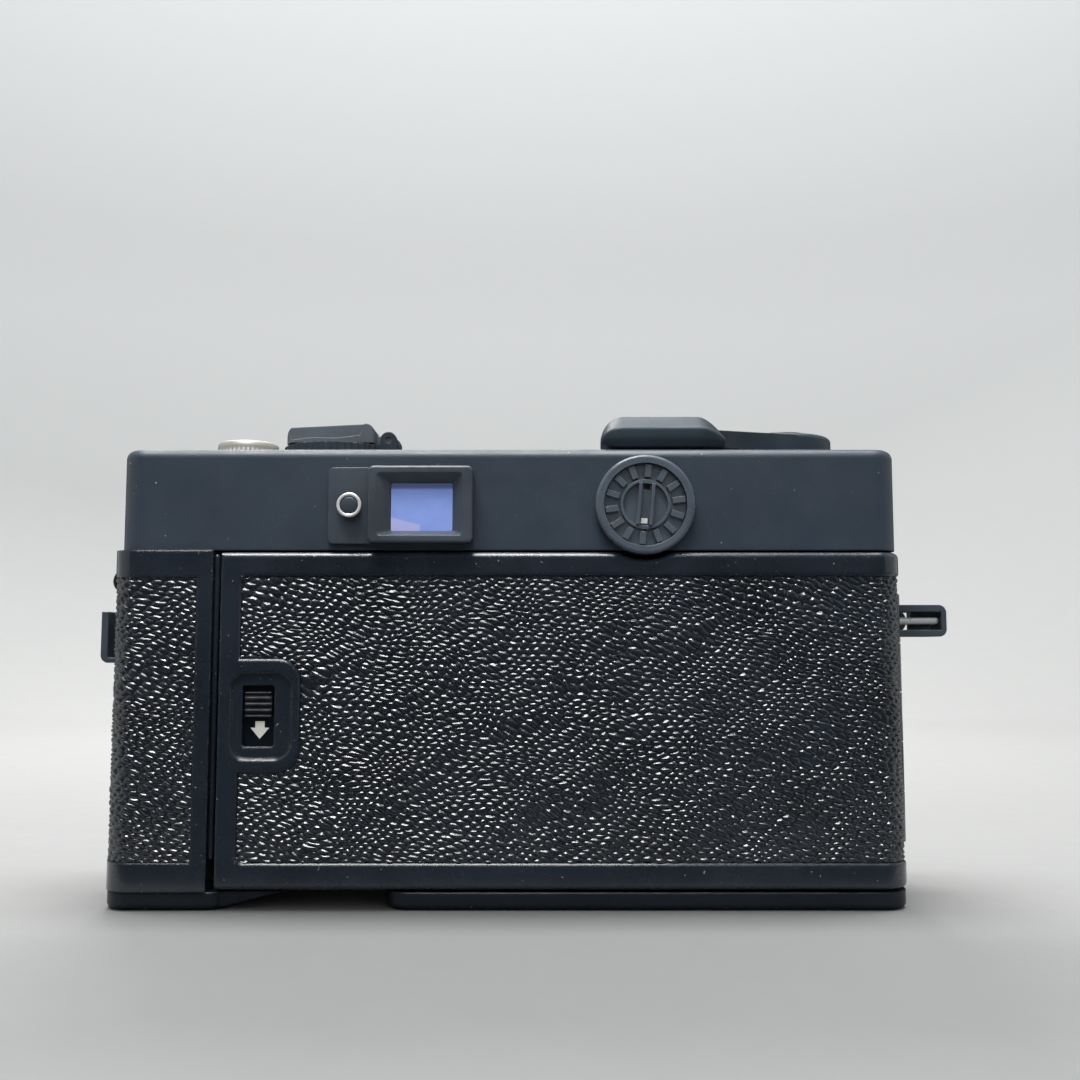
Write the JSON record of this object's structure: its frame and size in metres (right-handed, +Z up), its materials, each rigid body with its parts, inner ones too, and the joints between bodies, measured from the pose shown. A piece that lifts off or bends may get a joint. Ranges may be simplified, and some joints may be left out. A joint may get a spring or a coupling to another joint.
{
  "type": "rangefinder camera",
  "caption": "Compact fixed-lens film rangefinder camera in black, with a hinged back, sliding catch, folding rewind crank, advance lever, accessory shoe and strap rings.",
  "frame": {"origin": "mouth of the tripod socket on the base plane", "axes": "+Z up, lens towards -Y, back door towards +Y, +X at the viewer's left hand"},
  "size_m": [0.1332, 0.0595, 0.0733],
  "materials": {
    "case_paint": "semi-gloss black lacquer",
    "cover_paint": "satin black lacquer",
    "leatherette": "black pebbled leatherette",
    "casting": "blackened die casting",
    "black_plastic": "moulded, fine texture",
    "black_metal": "black anodised",
    "chrome": "polished",
    "champagne": "satin champagne anodised",
    "steel": "plain",
    "brass": "turned",
    "glass": "coated",
    "foam": "soft foam"
  },
  "bodies": {
    "body": {"body_shell": "case_paint", "body_leather": "leatherette", "casting_takeup": "casting", "casting_gate": "casting", "casting_cassette": "casting", "bottom_cover": "case_paint", "base_screws": "steel", "tripod_bush": "brass", "hinge_pin": "steel", "door_seals": "foam", "top_cover": "cover_paint", "viewfinder_plate": "black_plastic", "eyepiece_glass": "glass", "battery_chamber": "black_plastic", "battery_cells": "steel", "finder_bezel": "case_paint", "finder_windows": "glass", "finder_tunnel": "black_plastic", "accessory_shoe": "black_metal", "counter_window": "glass", "shutter_collar": "chrome", "lens_plate": "case_paint", "lens_barrel": "black_metal", "shutter_housing": "casting", "rear_lens": "glass", "strap_lugs": "chrome"},
    "door": {"back_door": "case_paint", "door_leather": "leatherette", "plate_spring": "steel"},
    "catch": {"door_catch": "black_plastic"},
    "pressure": {"pressure_plate": "black_metal"},
    "rewind_lift": {"rewind_sleeve": "steel"},
    "rewind": {"rewind_knob": "black_plastic", "rewind_shaft": "steel", "crank_pin": "steel"},
    "crank": {"rewind_crank": "black_plastic"},
    "speed_dial": {"film_speed_dial": "champagne"},
    "lever": {"advance_lever": "black_plastic", "lever_tip": "black_plastic", "lever_shaft": "steel"},
    "spool": {"takeup_spool": "black_plastic"},
    "sprocket": {"sprocket": "steel"},
    "counter": {"counter_disc": "black_plastic"},
    "release": {"shutter_button": "chrome"},
    "check_button": {"battery_check_button": "chrome"},
    "cap": {"battery_cap": "black_plastic"},
    "focus": {"focus_ring": "black_metal"},
    "helicoid": {"focus_tube": "black_metal", "front_ring": "black_metal", "front_lens": "glass"},
    "mirror": {"rangefinder_mirror": "glass"},
    "exposure": {"exposure_ring": "black_metal"},
    "timer": {"self_timer_lever": "black_plastic"},
    "blade_left": {"shutter_blade_left": "black_metal"},
    "blade_right": {"shutter_blade_right": "black_metal"},
    "rewind_release": {"rewind_release": "steel"},
    "ring_left": {"strap_ring_left": "chrome", "ring_guard_left": "black_plastic"},
    "ring_right": {"strap_ring_right": "chrome", "ring_guard_right": "black_plastic"}
  },
  "joints": [
    {"name": "door_hinge", "type": "hinge", "parent": "body", "child": "door", "pos_m": [-0.059, 0.007, 0.0274], "axis": [0, 0, 1], "range_deg": [0, 105]},
    {"name": "catch_slide", "type": "slide", "parent": "door", "child": "catch", "axis": [0, 0, -1], "range_m": [0, 0.0026], "stiffness_N_per_m": 100, "springref_m": -0.002},
    {"name": "pressure_plate_give", "type": "slide", "parent": "door", "child": "pressure", "axis": [0, 1, 0], "range_m": [0, 0.0004], "stiffness_N_per_m": 200, "springref_m": -0.001},
    {"name": "rewind_lift", "type": "slide", "parent": "body", "child": "rewind_lift", "axis": [0, 0, 1], "range_m": [0, 0.009]},
    {"name": "rewind_turn", "type": "hinge", "parent": "rewind_lift", "child": "rewind", "pos_m": [0.028, 0, 0.06], "axis": [0, 0, 1], "continuous": true},
    {"name": "crank_fold", "type": "hinge", "parent": "rewind", "child": "crank", "pos_m": [0.0193, 0, 0.0708], "axis": [0, -1, 0], "range_deg": [0, 130]},
    {"name": "speed_dial_turn", "type": "hinge", "parent": "body", "child": "speed_dial", "pos_m": [0.0445, -0.008, 0.069], "axis": [0, 0, 1], "range_deg": [0, 270]},
    {"name": "advance_stroke", "type": "hinge", "parent": "body", "child": "lever", "pos_m": [-0.0438, 0.0006, 0.069], "axis": [0, 0, 1], "range_deg": [0, 130], "stiffness_Nm_per_rad": 0.02, "springref_deg": -17.19},
    {"name": "spool_turn", "type": "hinge", "parent": "body", "child": "spool", "pos_m": [-0.0438, 0.0006, 0.027], "axis": [0, 0, 1], "range_deg": [0, 312]},
    {"name": "sprocket_turn", "type": "hinge", "parent": "body", "child": "sprocket", "pos_m": [-0.0293, 0.00545, 0.027], "axis": [0, 0, 1], "range_deg": [0, 361]},
    {"name": "counter_turn", "type": "hinge", "parent": "body", "child": "counter", "pos_m": [-0.037, -0.0076, 0.064], "axis": [0, 0, 1], "range_deg": [0, 19]},
    {"name": "release_press", "type": "slide", "parent": "body", "child": "release", "axis": [0, 0, -1], "range_m": [0, 0.0018], "stiffness_N_per_m": 600, "springref_m": -0.0005},
    {"name": "check_button_press", "type": "slide", "parent": "body", "child": "check_button", "axis": [0, -1, 0], "range_m": [0, 0.0007], "stiffness_N_per_m": 400, "springref_m": -0.0005},
    {"name": "battery_cap_turn", "type": "hinge", "parent": "body", "child": "cap", "pos_m": [-0.0205, 0.015, 0.0589], "axis": [0, 1, 0], "range_deg": [0, 75]},
    {"name": "focus_turn", "type": "hinge", "parent": "body", "child": "focus", "pos_m": [-0.0035, -0.027, 0.0274], "axis": [0, -1, 0], "range_deg": [0, 100]},
    {"name": "helicoid_travel", "type": "slide", "parent": "body", "child": "helicoid", "axis": [0, -1, 0], "range_m": [0, 0.00265]},
    {"name": "mirror_turn", "type": "hinge", "parent": "body", "child": "mirror", "pos_m": [-0.014, -0.004, 0.058], "axis": [0, 0, 1], "range_deg": [0, 3.1]},
    {"name": "exposure_turn", "type": "hinge", "parent": "body", "child": "exposure", "pos_m": [-0.0035, -0.033, 0.0274], "axis": [0, -1, 0], "range_deg": [0, 120]},
    {"name": "timer_swing", "type": "hinge", "parent": "body", "child": "timer", "pos_m": [-0.045, -0.017, 0.034], "axis": [0, -1, 0], "range_deg": [0, 90], "stiffness_Nm_per_rad": 0.002, "springref_deg": -17.19},
    {"name": "blade_left_swing", "type": "hinge", "parent": "body", "child": "blade_left", "pos_m": [0.0075, -0.0174, 0.0274], "axis": [0, 1, 0], "range_deg": [0, 60], "stiffness_Nm_per_rad": 0.0002, "springref_deg": -28.65},
    {"name": "blade_right_swing", "type": "hinge", "parent": "body", "child": "blade_right", "pos_m": [-0.0145, -0.0179, 0.0274], "axis": [0, 1, 0], "range_deg": [0, 60]},
    {"name": "rewind_release_press", "type": "slide", "parent": "body", "child": "rewind_release", "axis": [0, 0, 1], "range_m": [0, 0.001], "stiffness_N_per_m": 400, "springref_m": -0.0005},
    {"name": "ring_left_swing", "type": "hinge", "parent": "body", "child": "ring_left", "pos_m": [0.0617, 0, 0.0484], "axis": [0, -1, 0], "range_deg": [0, 150]},
    {"name": "ring_right_swing", "type": "hinge", "parent": "body", "child": "ring_right", "pos_m": [-0.0616, 0, 0.042], "axis": [0, 1, 0], "range_deg": [-80, 60]}
  ],
  "couplings": [
    {"joint": "spool_turn", "follows": "advance_stroke", "ratio": 2.39},
    {"joint": "sprocket_turn", "follows": "advance_stroke", "ratio": 2.7692},
    {"joint": "counter_turn", "follows": "advance_stroke", "ratio": 0.14},
    {"joint": "helicoid_travel", "follows": "focus_turn", "m_per_rad": 0.0015},
    {"joint": "mirror_turn", "follows": "focus_turn", "ratio": 0.03},
    {"joint": "blade_right_swing", "follows": "blade_left_swing", "ratio": 1}
  ]
}
